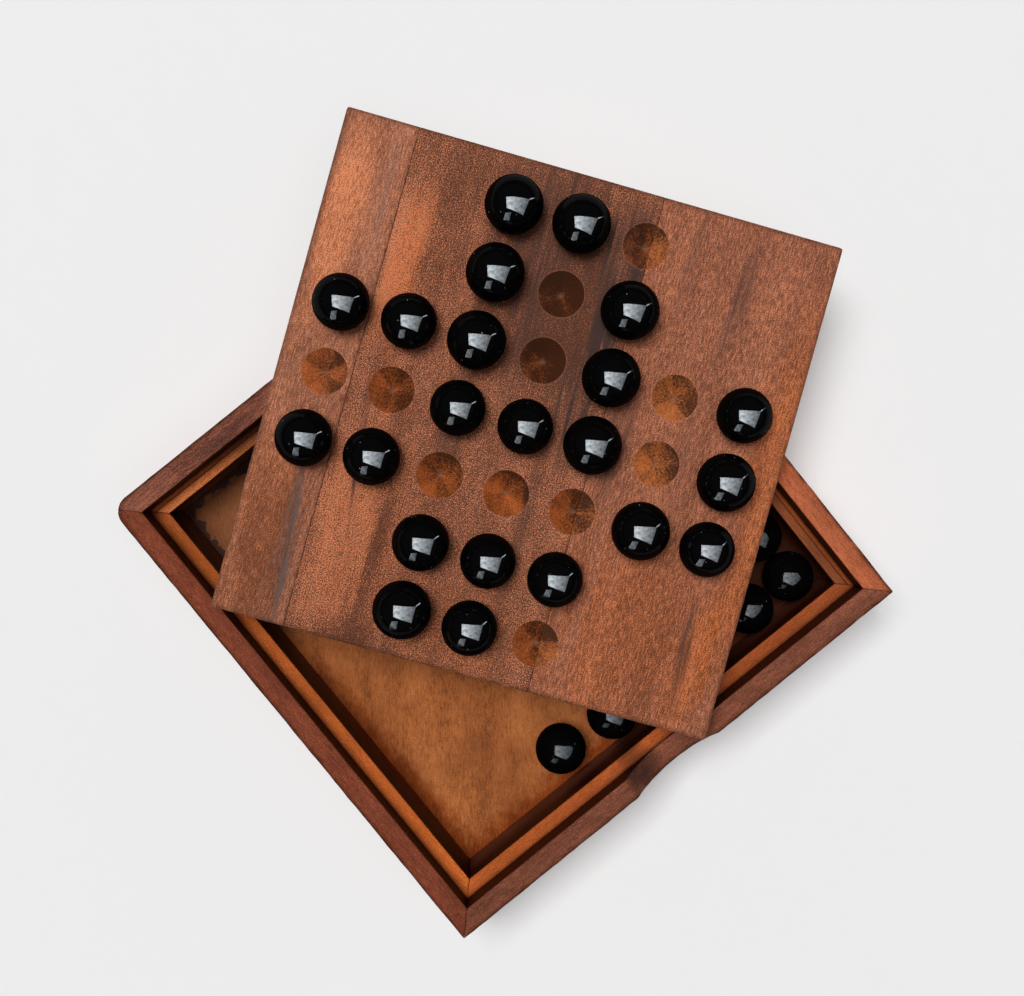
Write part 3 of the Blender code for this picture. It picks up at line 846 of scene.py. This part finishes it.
def makeRail(name, nodeName, turns, material, notched, grooved, seed):
    # the section carried along X for the front side, mitred at both ends where the length left is the
    # box's half side less the distance in, and then turned to its own side
    base, offset, radius, onLedge, onWall = railSection()
    along = np.linspace(-1, 1, int(2 * boxHalf / rails["step"]) + 1)
    if notched:  # closer together round the notch
        notchEnd = rails["notchReach"] * rails["notchWidth"] / 2 / boxHalf
        along = placesBetween([-1, -notchEnd, notchEnd, 1], rails["step"] / boxHalf)
        near = placesBetween([-notchEnd, notchEnd], rails["notchStep"] / boxHalf)
        along = np.unique(np.round(np.concatenate([along, near]), 9))
    uneven = np.clip(1 + rails["waver"] * ripple(along * boxHalf, seed, 9, 0.003, 0.03), 0.4, 1.8)
    section = base + offset * (radius * uneven[:, None])[..., None]
    inward, up = section[..., 0].copy(), section[..., 1].copy()
    x = along[:, None] * (boxHalf - inward - rails["mitreLine"] / math.sqrt(2))
    if notched:
        # a round bar has cut the rim: its underside is a circle through the notch's width and depth
        barRadius = (rails["notchWidth"] ** 2 / 4 + rails["notchDepth"] ** 2) / (2 * rails["notchDepth"])
        side = np.sqrt(np.maximum(barRadius**2 - x**2, 0.0))
        drop = np.where(np.abs(x) < barRadius, rails["notchDepth"] - barRadius + side, -0.01)
        drop = np.minimum(softMax(drop, rails["notchEase"]), rails["notchDepth"])
        onRim = inward < rails["rimWidth"] + 1e-6
        floor = rails["ledgeHeight"]
        share = np.clip((up - floor) / (boxHeight - rails["outerArris"] * 1.6 - floor), 0, 1)
        up = np.where(onRim & (up > floor), up - drop * share, up)
    if grooved:
        atGroove = np.abs(inward - rails["rimWidth"] - rails["grooveAt"])
        level = np.abs(up - rails["ledgeHeight"]) < 1e-5
        up = up - level * rails["grooveDepth"] * np.clip(1 - atGroove / rails["grooveWidth"], 0, 1)
    y = inward - boxHalf
    spots = np.stack([x, y, up], axis=-1)
    rows, columns = spots.shape[:2]
    spots = spots.reshape(-1, 3)
    for _ in range(turns):
        spots = np.stack([-spots[:, 1], spots[:, 0], spots[:, 2]], axis=1)
    reach = boxHalf - rails["wornRadius"]
    for side in (-1, 1):  # the two back corners are worn
        spots = roundCorner(spots, np.array([side * reach, reach]), np.array([side, 1]))
    faces = gridFaces(rows, columns, 0, True)
    startCap = np.arange(columns)[::-1][None]
    endCap = ((rows - 1) * columns + np.arange(columns))[None]
    fade = (inward > railWidth - 1e-6) * np.clip(1 - (up - panelTop) / rails["fadeHeight"], 0, 1)
    fromWall = np.maximum(inward - rails["rimWidth"], 0)
    fromCorner = np.hypot(inward, boxHeight - section[..., 1])  # the rim's outer corner, also in the notch
    fromGroove = (fromWall - rails["grooveAt"]) / rails["grooveWidth"]
    dirt = grooved * rails["grooveDirt"] * np.exp(-(fromGroove**2))
    masks = {
        "ledge": np.broadcast_to(onLedge, (rows, columns)).ravel().copy(),
        # painted shade on the walls below the rim, lifting towards the panel
        "wall": (onWall * (1 - rails["wallFade"] * fade)).ravel(),
        # painted shade along the rim's rounded outer edge, also in the notch
        "edge": np.exp(-((fromCorner / rails["edgeReach"]) ** 2)).ravel(),
        # painted shade in the ledge's inner corner, and the groove's dark line
        "cornerShadeAndGroove": (onLedge * np.maximum(np.exp(-fromWall / rails["cornerShadeReach"]), dirt)).ravel(),
        "far": (x / boxHalf / 2 + 0.5).ravel(),
        "strip": (onLedge * grooved * (fromWall < rails["grooveAt"])).ravel(),
    }
    faces = [group[:, ::-1] for group in (faces, startCap, endCap)]
    piece = makePiece(name, spots, faces, material, masks)
    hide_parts(nodeName)
    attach(piece, "box")


# the edge colour is painted shade along the rim's rounded outer edge
railWood = dict(edgeShade=(0.050, 0.011, 0.005), wear=1.3, roughness=0.5, wall=(0.15, 0.08, 0.06))
# wall, here and in the rail wood above, multiplies the walls below the rim as painted shade
railLooks = {
    # ledge, ledgeEnd and strip are what the oiled ledge multiplies the wood's colour by, ledgeEnd at the
    # rail's right end and strip between the groove and the wall
    "front": dict(
        railWood,
        dark=(0.080, 0.027, 0.015), middle=(0.205, 0.067, 0.038), light=(0.420, 0.140, 0.082),
        # its ledge is darker at the right end, as painted shade in the corner with the marbles
        grey=(0.050, 0.022, 0.018), ledge=(2.6, 1.8, 0.74), ledgeEnd=(1.7, 1.22, 0.66),
        bands=0.25, clouds=0.25, fibres=0.24, flecks=0.4, veins=0.12,
        figure=((70, 2, 6, 7, 0.0, 0.35), (79, -9, 7, 9, 0.0, -0.9)), greys=((76, -10, 6, 7, 0.0, 0.8),),
    ),
    "right": dict(
        railWood,
        dark=(0.190, 0.048, 0.020), middle=(0.450, 0.118, 0.049), light=(0.640, 0.190, 0.085),
        grey=(0.060, 0.024, 0.018), ledge=(0.58, 0.62, 0.56), strip=(1.0, 0.85, 0.46),
        wall=(0.08, 0.06, 0.06),
        bands=0.3, clouds=0.3, fibres=0.24, flecks=0.45, veins=0.15,
    ),
    "back": dict(
        railWood,
        dark=(0.075, 0.028, 0.019), middle=(0.215, 0.074, 0.046), light=(0.420, 0.145, 0.088),
        grey=(0.042, 0.024, 0.022), ledge=(2.45, 2.05, 1.05), strip=(2.5, 1.7, 0.72), roughness=0.52,
        bands=0.45, clouds=0.5, fibres=0.4, flecks=0.6, veins=0.25,
        figure=((325, -72, 14, 30, 0.0, 0.55),), greys=((327, -34, 9, 24, 0.0, 0.5),),
    ),
    "left": dict(
        railWood,
        dark=(0.090, 0.025, 0.012), middle=(0.200, 0.050, 0.025), light=(0.420, 0.112, 0.056),
        grey=(0.055, 0.022, 0.018), ledge=(1.6, 1.5, 0.75), ledgeEnd=(3.2, 2.9, 1.2),
        bands=0.25, clouds=0.25, fibres=0.24, flecks=0.4, veins=0.1,
    ),
}
for turns, (side, look) in enumerate(railLooks.items()):
    woodMaterial, tree, shader = newMaterial("rail_" + side + "_wood", look["middle"])
    coordinates = addNode(tree, "TexCoord").outputs["Object"]
    grainTurn = math.pi / 2 if turns % 2 == 0 else 0.0  # grain along the rail
    feeds = {"Vector": coordinates, "Rotation": (0, 0, grainTurn), "Location": (0.2 * turns, 0.0, 0.0)}
    place = addNode(tree, "Mapping", feeds).outputs[0]
    makeWood(look, place, tree, shader)
    makeRail(
        "box_rail_" + side, "rail_" + side, turns, woodMaterial, notched=side == "front",
        grooved=side in ("right", "back"), seed=20 + turns,
    )
print("scene: rails made")


# The bottom panel: the CAD node stays, with its own material

panel = dict(
    dark=(0.190, 0.058, 0.020), middle=(0.410, 0.128, 0.037), light=(0.560, 0.192, 0.060),
    grey=(0.190, 0.058, 0.020),
    aged=(0.185, 0.080, 0.040), agedSize=0.060,  # bare brown wood round the spill
    shade=(0.62, 0.40, 0.26), shadeReach=0.008,  # painted shade beside the walls, redder where oil stains them
    shadeFrom=(0.04, 0.09),  # away from the spill's corner
    shadeRagged=0.010,
    clouding=(55.0, 3.0, 0.0, 0.38, 0.66),
    cloudShare=0.5,
    ragged=(330.0, 4.0),
    # a dark band along the walls near the back left corner: a spill by the back wall, painted shade by the
    # left wall
    stainAndShade=(0.056, 0.029, 0.026), stainAndShadeAt=(-0.0725, 0.0725, 0.0), stainAndShadeSize=0.040, stainAndShadeReach=0.0020,
    stainAndShadeRagged=0.009,
    # painted shade in the deep corner with the marbles
    marbleCornerShade=(0.030, 0.012, 0.008), marbleCornerShadeAt=(0.0725, -0.0725, 0.0), marbleCornerShadeSize=0.052,
    bands=0.35, clouds=0.5, fibres=0.4, flecks=0.35, veins=0.0,
    grainTurn=0.62, roughness=0.5,
)


def cornerDistance(tree, coordinates, corner):  # how far a point lies from one of the panel's corners
    away = mathsOf(tree, "SUBTRACT", coordinates, corner)
    return mathsOf(tree, "LENGTH", mathsOf(tree, "MULTIPLY", away, (1, 1, 0)), output="Value")


def makePanelWood():
    material, tree, shader = newMaterial("base_panel_wood", panel["middle"])
    coordinates = addNode(tree, "TexCoord").outputs["Object"]
    feeds = {"Vector": coordinates, "Rotation": (0, 0, panel["grainTurn"])}
    place = addNode(tree, "Mapping", feeds).outputs[0]
    wood = groupNode(tree, woodGroup, {"Place": place, **valuesOf(panel, *woodColours, *woodShares)})
    # clouds of stain, painted shade along the walls with a redder stain in it, a ragged dark band at the
    # back left corner that is a spill by the back wall and painted shade by the left wall, and painted shade
    # in the corner with the marbles
    clouds = noiseOf(tree, coordinates, panel["clouding"], 0.0, panel["cloudShare"])
    colour = blendColour(tree, clouds, wood["Color"], panel["dark"])
    ragged = calc(tree, "SUBTRACT", noise(tree, coordinates, *panel["ragged"]), 0.5)
    spot = addNode(tree, "SeparateXYZ", {0: mathsOf(tree, "ABSOLUTE", coordinates)}).outputs
    wallAway = calc(tree, "SUBTRACT", boxHalf - railWidth, calc(tree, "MAXIMUM", spot["X"], spot["Y"]))
    distance, marbleCornerShadeAway = (cornerDistance(tree, coordinates, panel[key]) for key in ("stainAndShadeAt", "marbleCornerShadeAt"))
    aged = spread(tree, distance, panel["agedSize"] * 0.5, panel["agedSize"], 0.5, 0.0)
    colour = blendColour(tree, aged, colour, panel["aged"])
    # painted shade along the walls, with a redder stain in it
    shadeAway = addUp(tree, wallAway, [(ragged, panel["shadeRagged"])])
    feeds = {"Value": shadeAway, "From Min": panel["shadeReach"], "From Max": 0.0}
    shade = addNode(tree, "MapRange", feeds)
    shade.interpolation_type = "SMOOTHSTEP"
    shade = calc(tree, "MULTIPLY", shade.outputs[0], spread(tree, distance, *panel["shadeFrom"]))
    colour = blendColour(tree, shade, colour, panel["shade"], "MULTIPLY")
    # a spill by the back wall and painted shade by the left wall, near the back left corner
    near = spread(tree, distance, panel["stainAndShadeSize"] * 0.7, panel["stainAndShadeSize"], 1.0, 0.0)
    spillAndShade = addUp(tree, wallAway, [(ragged, panel["stainAndShadeRagged"])])
    spillAndShade = spread(tree, spillAndShade, panel["stainAndShadeReach"] * 0.8, panel["stainAndShadeReach"], 0.9, 0.0)
    colour = blendColour(tree, calc(tree, "MULTIPLY", spillAndShade, near), colour, panel["stainAndShade"])
    # painted shade in the corner with the marbles
    marbleCornerShade = spread(tree, marbleCornerShadeAway, panel["marbleCornerShadeSize"] * 0.4, panel["marbleCornerShadeSize"], 0.9, 0.0)
    colour = blendColour(tree, marbleCornerShade, colour, panel["marbleCornerShade"])
    connect(shader, {
        "Base Color": colour, "Roughness": addUp(tree, panel["roughness"], [(wood["Height"], 0.05)]),
        "Specular IOR Level": oilFinish["specular"],
        "Normal": bumpOf(tree, 0.3, oilFinish["relief"], wood["Height"]),
    })
    return material


panelNode = frame["nodes"]["base_panel"]
panelWood = makePanelWood()
for materialSlot in panelNode.material_slots:
    materialSlot.material = panelWood
print("scene: panel finished")


# The marbles

marbles = dict(
    around=72,
    upwards=36,
    unevenness=0.0015,  # share of the radius by which pressed glass is out of round
    colour=(0.0016, 0.0016, 0.0019),
    dust=(0.30, 0.30, 0.32),
    finishes={"fresh": (1.0, 0.03), "dusty": (0.34, 0.08)},  # gloss and roughness of the coat
    smears=(240.0, 3.0, 0.8, 0.4, 0.75),
    smearRoughness=3,  # times the coat's
    speckScale=900.0,
    speckSize=(0.1, 0.2),
    speckPlaces=(700.0, 1.0, 0.0, 0.66, 0.72),
    waves=(330.0, 2.0),
    waveRelief=(0.06, 0.00012),
    edgeGloss=0.08,  # share of the gloss that is left near the outline
    edgeAt=(0.235, 0.285),  # where it falls, from 0 facing the eye to 1 at the outline
)


def makeMarbleGlass(finish):
    full, roughness = marbles["finishes"][finish]
    material, tree, shader = newMaterial(finish + "_black_glass", marbles["colour"])
    coordinates = addNode(tree, "TexCoord").outputs["Object"]
    smears = noiseOf(tree, coordinates, marbles["smears"], roughness, roughness * marbles["smearRoughness"])
    feeds = {"Vector": coordinates, "Scale": marbles["speckScale"]}
    dust = spread(tree, addNode(tree, "TexVoronoi", feeds).outputs["Distance"], *marbles["speckSize"], 1, 0)
    speck = calc(tree, "MULTIPLY", dust, noiseOf(tree, coordinates, marbles["speckPlaces"]))
    bump = bumpOf(tree, *marbles["waveRelief"], noise(tree, coordinates, *marbles["waves"]))
    # the gloss is a coat that thins out towards the outline, so the glass stays black up to a fine rim
    facing = addNode(tree, "LayerWeight", {"Blend": 0.5}).outputs["Facing"]
    connect(shader, {
        "Base Color": blendColour(tree, speck, marbles["colour"], marbles["dust"]),
        "Roughness": smears, "Specular IOR Level": 0.0, "Normal": bump,
        "Coat Weight": spread(tree, facing, *marbles["edgeAt"], full, full * marbles["edgeGloss"]),
        "Coat Roughness": roughness, "Coat Normal": bump,
    })
    return material


def makeMarble(nodeName, glass, seed):
    # a sphere over longitude and latitude whose radius swells and shrinks with two slow waves
    low, high = (np.array(corner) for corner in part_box(nodeName))
    radius = (high[2] - low[2]) / 2
    centre = (low + high) / 2
    random = np.random.default_rng(seed)
    phase = random.uniform(0, 2 * math.pi, 2)
    longitude = np.linspace(0, 2 * math.pi, marbles["around"], endpoint=False)[None, :]
    latitude = np.linspace(-math.pi / 2, math.pi / 2, marbles["upwards"] + 1)[1:-1][:, None]
    waves = np.sin(2 * longitude + phase[0]) + np.sin(3 * longitude + 2 * latitude + phase[1])
    size = radius * (1 + marbles["unevenness"] * np.cos(latitude) * waves / 2)
    level = size * np.cos(latitude)
    x, y, z = level * np.cos(longitude), level * np.sin(longitude), size * np.sin(latitude)
    shell = np.stack([x, y, z], axis=-1)
    rows, columns = shell.shape[:2]
    poles = np.array([[0, 0, -radius], [0, 0, radius]])
    points = np.concatenate([shell.reshape(-1, 3), poles]) + centre
    ring, top = np.arange(columns), (rows - 1) * columns
    fans = [fanFaces(len(points) - 2, ring[::-1]), fanFaces(len(points) - 1, top + ring)]
    faces = [gridFaces(rows, columns, 0, True), *fans]
    piece = makePiece(nodeName.replace("marble", "black_marble"), points, faces, glass)
    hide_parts(nodeName)
    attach(piece, nodeName)


glasses = {finish: makeMarbleGlass(finish) for finish in marbles["finishes"]}
marbleNodes = sorted(name for name in frame["nodes"] if name.startswith("marble_"))
for number, nodeName in enumerate(marbleNodes):
    makeMarble(nodeName, glasses["dusty" if "loose" in nodeName else "fresh"], 100 + number)
print("scene:", len(marbleNodes), "marbles made")


# Studio: floor, light and camera

studio = dict(
    floorColour=(0.86, 0.86, 0.86),
    paleColour=(0.84, 0.84, 0.84),
    floorGlow=0.10,  # share of the floor that the camera sees unshaded, which softens its shadows
    floorRadius=3.0,
    floorRings=60,
    floorSides=96,
    floorDrop=0.0002,  # below the object, so that their faces don't meet
    floorTooth=(900.0, 2.0, 0.0, 0.3, 0.7),
    riseFrom=2.2,  # radius past which the floor curves up to a backdrop
    riseHeight=0.85,
    flagRadius=1.9,  # a black band that only gloss shows, in front of the rise, keeps black glass black
    flagHeights=(0.01, 0.66),
    flagColour=(0.004, 0.004, 0.004),
    flagSides=64,
    paneDistance=1.5,
    paneSteps=9,
    paneHaze=(2.6, 3.0, 0.0, 0.35, 0.65),
    paneColour=(0.86, 0.94, 1.0),
    worldLight=0.02,
    eye=(0.00833, 0.02653, 0.41608),
    eyeTurn=(-1.5153, -1.7924, -38.8338),  # degrees
    lens=45.04,
)
lamps = {
    # way is where the lamp hangs: right, up and back as the camera sees them; white is the share of
    # full white that it gives a level surface
    "key": dict(way=(-0.22, 0.22, 1.0), distance=12.0, size=(5.2, 5.2), white=0.82),
    "top": dict(way=(0.12, -0.12, 1.0), distance=12.0, size=(9.0, 9.0), white=0.18),
}
windows = {
    # bright panes that only gloss shows. Their corners are where the marbles show them, as shares of a
    # marble's radius to the right and up: top left, top right, bottom right, bottom left
    # and glow from its left to its right side
    "pane_main": dict(corners=((-0.25, 0.18), (0.50, 0.13), (0.33, -0.42), (-0.25, -0.19)), glow=(17, 3)),
    "pane_low": dict(corners=((-0.30, -0.34), (-0.10, -0.34), (-0.19, -0.62), (-0.43, -0.62)), glow=(5, 3)),
    "pane_thin": dict(corners=((0.50, 0.16), (0.66, 0.27), (0.68, 0.24), (0.50, 0.12)), glow=(8, 14)),
}


def makeFloor():
    # a flat disc that curves up at its rim with the square of the way from where the rise starts:
    # radius along one parameter, angle along the other
    radii = studio["floorRadius"] * np.linspace(0.01, 1, studio["floorRings"]) ** 1.2
    angle = np.linspace(0, 2 * math.pi, studio["floorSides"], endpoint=False)
    drop = studio["floorDrop"]
    x, y = radii[:, None] * np.cos(angle), radii[:, None] * np.sin(angle)
    rise = np.maximum(radii - studio["riseFrom"], 0) / (studio["floorRadius"] - studio["riseFrom"])
    z = np.broadcast_to((studio["riseHeight"] * rise**2 - drop)[:, None], x.shape)
    points = np.concatenate([np.stack([x, y, z], axis=-1).reshape(-1, 3), [[0, 0, -drop]]])
    fan = fanFaces(len(points) - 1, np.arange(len(angle)))
    faces = [gridFaces(len(radii), len(angle), 0, True)[:, ::-1], fan]
    material, tree, shader = newMaterial("studio_paper", studio["floorColour"])
    coordinates = addNode(tree, "TexCoord").outputs["Object"]
    tooth = noiseOf(tree, coordinates, studio["floorTooth"], 0.8, 0.95)
    feeds = {"Base Color": studio["floorColour"], "Specular IOR Level": 0.1, "Roughness": tooth}
    connect(shader, feeds)
    path = addNode(tree, "LightPath").outputs
    seen = calc(tree, "MAXIMUM", path["Is Camera Ray"], path["Is Glossy Ray"])
    seen = calc(tree, "MAXIMUM", seen, path["Is Transmission Ray"])
    glow = addNode(tree, "Emission", {"Color": studio["paleColour"]})
    up = addNode(tree, "SeparateXYZ", {0: coordinates}).outputs["Z"]
    share = calc(tree, "MULTIPLY", seen, spread(tree, up, 0.0, 0.1, studio["floorGlow"], 1.0))
    mixed = addNode(tree, "MixShader", {0: share, 1: shader.outputs[0], 2: glow.outputs[0]})
    connect(tree.nodes["Material Output"], {"Surface": mixed.outputs[0]})
    floor = makePiece("studio_floor", points, faces, material)


def makeWindow(name, window, turn, aim, shownTo):
    # a patch of a sphere round the object. A marble shows a way at the radius r, as a share of its own,
    # where the way leans from the camera's axis by twice the arc sine of r.
    topLeft, topRight, bottomRight, bottomLeft = (np.array(corner) for corner in window["corners"])
    steps = np.linspace(0, 1, studio["paneSteps"])
    down, along = (share[..., None] for share in np.meshgrid(steps, steps, indexing="ij"))
    spots = (1 - down) * ((1 - along) * topLeft + along * topRight)
    spots = spots + down * ((1 - along) * bottomLeft + along * bottomRight)
    radius = np.hypot(spots[..., 0], spots[..., 1])
    lean = 2 * np.arcsin(radius)
    sideways = (np.sin(lean) / radius)[..., None] * spots
    ways = np.concatenate([sideways, np.cos(lean)[..., None]], axis=-1).reshape(-1, 3)
    points = np.array(aim) + studio["paneDistance"] * ways @ np.array(turn).T
    material, tree, shader = newMaterial(name, studio["paneColour"])
    tree.nodes.remove(shader)
    coordinates = addNode(tree, "TexCoord").outputs["Object"]
    haze = noiseOf(tree, coordinates, studio["paneHaze"], 0.55, 1.2)
    strength = calc(tree, "MULTIPLY", spread(tree, mask(tree, "side"), 0.0, 1.0, *window["glow"]), haze)
    glow = addNode(tree, "Emission", {"Color": studio["paneColour"], "Strength": strength})
    connect(tree.nodes["Material Output"], {"Surface": glow.outputs[0]})
    faces = gridFaces(studio["paneSteps"], studio["paneSteps"])
    pane = makePiece(name, points, [faces], material, {"side": along.ravel().copy()})
    pane.visible_diffuse = pane.visible_shadow = pane.visible_camera = False
    pane.light_linking.receiver_collection = shownTo


def makeFlag():
    # an upright band: a circle's points at a low and a high level
    angle = np.linspace(0, 2 * math.pi, studio["flagSides"], endpoint=False)
    low, high = studio["flagHeights"]
    ring = studio["flagRadius"] * np.stack([np.cos(angle), np.sin(angle), 0 * angle], axis=1)
    points = np.concatenate([ring + (0, 0, low), ring + (0, 0, high)])
    material, _, shader = newMaterial("black_cloth", studio["flagColour"])
    connect(shader, {"Base Color": studio["flagColour"], "Roughness": 0.9, "Specular IOR Level": 0.0})
    flag = makePiece("studio_flag", points, [gridFaces(2, len(angle), 0, True)[:, ::-1]], material)
    flag.visible_camera = flag.visible_diffuse = flag.visible_shadow = flag.visible_transmission = False


def makeStudio():
    scene = bpy.context.scene
    world = bpy.data.worlds.new("soft_room")
    world.use_nodes = True
    connect(world.node_tree.nodes["Background"], {"Strength": studio["worldLight"], "Color": (1, 1, 1)})
    scene.world = world
    camera = bpy.data.objects.new("photo_camera", bpy.data.cameras.new("photo_camera"))
    scene.collection.objects.link(camera)
    camera.location = studio["eye"]
    camera.rotation_euler = Euler([math.radians(angle) for angle in studio["eyeTurn"]])
    camera.data.lens = studio["lens"]
    camera.data.sensor_width = 36.0
    camera.data.clip_start, camera.data.clip_end = 0.01, 20.0
    scene.camera = camera
    turn = camera.rotation_euler.to_matrix()
    aim = Vector((0.0, 0.0, boxHeight))
    for name, lamp in lamps.items():
        light = bpy.data.lights.new("lamp_" + name, "AREA")
        light.shape = "RECTANGLE"
        light.size, light.size_y = lamp["size"]
        way = (turn @ Vector(lamp["way"])).normalized()
        # a level surface gets its full white from pi squared times the distance squared, in watts
        light.energy = lamp["white"] * (math.pi * lamp["distance"]) ** 2 / way.z
        holder = bpy.data.objects.new("lamp_" + name, light)
        scene.collection.objects.link(holder)
        holder.location = aim + way * lamp["distance"]
        holder.rotation_euler = way.to_track_quat("Z", "Y").to_euler()
        holder.visible_glossy = False
    shiny = bpy.data.collections.new("shiny_pieces")  # the wood keeps its colour, so no pane lights it
    for name in marbleNodes:
        shiny.objects.link(bpy.data.objects[name.replace("marble", "black_marble")])
    for name, window in windows.items():
        makeWindow(name, window, turn, aim, shiny)
    scene.view_settings.view_transform = "Standard"


makeFloor()
makeFlag()
makeStudio()
print("scene: studio made")
